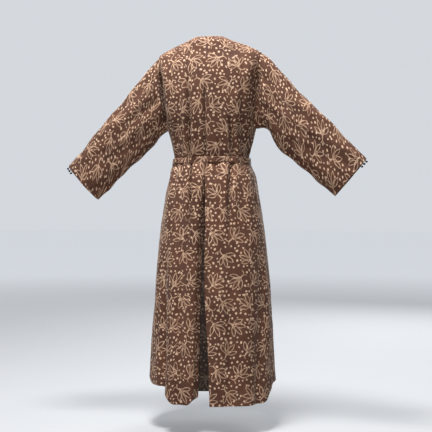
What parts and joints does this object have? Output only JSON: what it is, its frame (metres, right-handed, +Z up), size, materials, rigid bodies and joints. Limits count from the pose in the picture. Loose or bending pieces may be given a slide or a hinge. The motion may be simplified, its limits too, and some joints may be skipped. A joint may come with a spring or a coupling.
{
  "type": "wrap gown",
  "caption": "Long brown printed wrap gown with three-quarter sleeves, a narrow tie belt and an inverted pleat at the centre back.",
  "frame": {"origin": "middle of the neckline, level with the top of the back neck", "axes": "+Z up, +Y the way the wearer faces, +X to the wearer's right"},
  "size_m": [1.1309, 0.4172, 1.322],
  "materials": {
    "cloth": "matt plain-weave cotton, dark brown with a resist-printed pattern of cream leaf sprigs and dots",
    "facing": "the same cotton, wrong side",
    "button": "small black ball buttons"
  },
  "bodies": {
    "gown": {"back_left": "cloth", "back_neck_facing": "facing", "back_pleat_underlay": "cloth", "back_right": "cloth", "belt_band": "cloth", "belt_carrier_left": "cloth", "belt_carrier_right": "cloth", "belt_knot": "cloth", "bow_loop_front": "cloth", "bow_loop_side": "cloth", "front_facing_left": "facing", "front_facing_right": "facing", "front_left": "cloth", "front_right": "cloth"},
    "sleeve_left": {"cuff_button_left_1": "button", "cuff_button_left_2": "button", "cuff_button_left_3": "button", "cuff_facing_left": "facing", "sleeve_left_back": "cloth", "sleeve_left_front": "cloth"},
    "sleeve_right": {"cuff_button_right_1": "button", "cuff_button_right_2": "button", "cuff_button_right_3": "button", "cuff_facing_right": "facing", "sleeve_right_back": "cloth", "sleeve_right_front": "cloth"},
    "front_flap": {"front_right_flap": "cloth", "front_facing_flap": "facing"},
    "tie_front": {"tie_end_front": "cloth"},
    "tie_side": {"tie_end_side": "cloth"}
  },
  "joints": [
    {"name": "sleeve_left_lift", "type": "hinge", "parent": "gown", "child": "sleeve_left", "pos_m": [-0.191, -0.013, -0.058], "axis": [0, 1, 0], "range_deg": [0, 40]},
    {"name": "sleeve_right_lift", "type": "hinge", "parent": "gown", "child": "sleeve_right", "pos_m": [0.191, -0.013, -0.058], "axis": [0, -1, 0], "range_deg": [0, 40]},
    {"name": "front_flap_open", "type": "hinge", "parent": "gown", "child": "front_flap", "pos_m": [-0.07015, 0.13424, -0.49798], "axis": [0.1554, 0.1103, -0.9817], "range_deg": [0, 60]},
    {"name": "tie_front_swing", "type": "hinge", "parent": "gown", "child": "tie_front", "pos_m": [-0.11371, 0.09342, -0.4706], "axis": [0.6691, 0.7431, 0], "range_deg": [0, 55]},
    {"name": "tie_side_swing", "type": "hinge", "parent": "gown", "child": "tie_side", "pos_m": [-0.1294, 0.07766, -0.47143], "axis": [0.6691, 0.7431, 0], "range_deg": [0, 55]}
  ]
}
